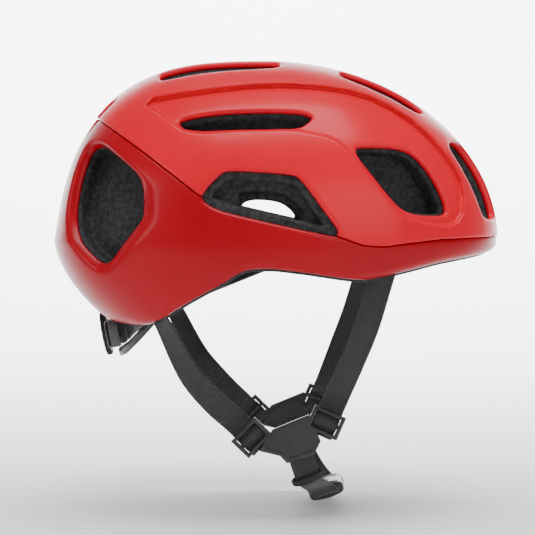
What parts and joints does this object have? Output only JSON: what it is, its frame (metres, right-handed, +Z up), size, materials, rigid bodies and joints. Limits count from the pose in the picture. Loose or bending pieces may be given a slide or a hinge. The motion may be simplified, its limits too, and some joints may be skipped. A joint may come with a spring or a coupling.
{
  "type": "cycling helmet",
  "caption": "Vented road cycling helmet with a painted shell, foam liner, dial-adjusted rear cradle and webbing harness with a side-release buckle.",
  "frame": {"origin": "centre of the head opening at the level of the head's largest girth", "axes": "+X towards the helmet's front, +Y towards the wearer's left, +Z up towards the crown"},
  "size_m": [0.279, 0.212, 0.2763],
  "materials": {
    "shell_paint": "gloss red paint",
    "shell_paint_lower": "gloss red paint",
    "foam": "moulded foam beads, matte",
    "padding": "brushed knit over foam",
    "plastic_black": "fine satin",
    "plastic_grey": "satin",
    "grip_rubber": "matte",
    "webbing": "ribbed weave"
  },
  "bodies": {
    "helmet": {"upper_shell": "shell_paint", "lower_shell": "shell_paint_lower", "foam_liner": "foam", "front_anchor_right": "plastic_black", "front_anchor_left": "plastic_black", "rear_anchor_right": "plastic_black", "rear_anchor_left": "plastic_black", "temple_pin_right": "plastic_grey", "temple_pin_left": "plastic_grey", "height_peg": "plastic_grey", "brow_pad": "padding", "temple_pad_right": "padding", "temple_pad_left": "padding", "crown_pad_center": "padding", "crown_pad_right": "padding", "crown_pad_left": "padding"},
    "cradle": {"dial_housing": "plastic_grey", "housing_cover": "plastic_black", "cradle_arm_right": "plastic_black", "cradle_arm_left": "plastic_black", "cradle_band": "plastic_black", "height_strip": "plastic_black", "occipital_pad_right": "padding", "occipital_pad_left": "padding"},
    "dial": {"dial_knob": "plastic_black", "dial_grip": "grip_rubber", "pinion": "plastic_grey"},
    "left_rack": {"rack_left": "plastic_black"},
    "right_rack": {"rack_right": "plastic_black"},
    "harness_right": {"front_strap_right": "webbing", "rear_strap_right": "webbing", "divider_right": "plastic_black", "chin_strap_right": "webbing", "strap_keeper_right": "grip_rubber", "buckle_socket": "plastic_black"},
    "harness_left": {"front_strap_left": "webbing", "rear_strap_left": "webbing", "divider_left": "plastic_black", "chin_strap_left": "webbing", "strap_keeper_left": "grip_rubber"},
    "tongue": {"buckle_tongue": "plastic_black"},
    "front_prong": {"prong_front": "plastic_black"},
    "rear_prong": {"prong_rear": "plastic_black"}
  },
  "joints": [
    {"name": "cradle_height", "type": "hinge", "parent": "helmet", "child": "cradle", "pos_m": [0.025, 0, 0], "axis": [0, 1, 0], "range_deg": [-5, 5]},
    {"name": "dial_turn", "type": "hinge", "parent": "cradle", "child": "dial", "pos_m": [-0.092, 0, -0.057], "axis": [0.9816, 0, 0.1908], "range_deg": [0, 150]},
    {"name": "left_rack_slide", "type": "slide", "parent": "cradle", "child": "left_rack", "axis": [0, -1, 0], "range_m": [0, 0.012]},
    {"name": "right_rack_slide", "type": "slide", "parent": "cradle", "child": "right_rack", "axis": [0, 1, 0], "range_m": [0, 0.012]},
    {"name": "right_strap_swing", "type": "hinge", "parent": "helmet", "child": "harness_right", "pos_m": [0.066, -0.08, -0.025], "axis": [-0.9791, 0.0392, -0.1997], "range_deg": [0, 50]},
    {"name": "left_strap_swing", "type": "hinge", "parent": "helmet", "child": "harness_left", "pos_m": [0.066, 0.08, -0.025], "axis": [0.9791, 0.0392, 0.1997], "range_deg": [0, 50]},
    {"name": "buckle_release_slide", "type": "slide", "parent": "harness_left", "child": "tongue", "axis": [0, 1, 0], "range_m": [0, 0.022]},
    {"name": "front_prong_pinch", "type": "hinge", "parent": "tongue", "child": "front_prong", "pos_m": [0.0414, 0.0041, -0.15465], "axis": [0.2924, 0, -0.9563], "range_deg": [0, 8], "stiffness_Nm_per_rad": 0.02},
    {"name": "rear_prong_pinch", "type": "hinge", "parent": "tongue", "child": "rear_prong", "pos_m": [0.0326, 0.0041, -0.15735], "axis": [-0.2924, 0, 0.9563], "range_deg": [0, 8], "stiffness_Nm_per_rad": 0.02}
  ],
  "couplings": [
    {"joint": "left_rack_slide", "follows": "dial_turn", "m_per_rad": 0.0045},
    {"joint": "right_rack_slide", "follows": "dial_turn", "m_per_rad": 0.0045}
  ]
}
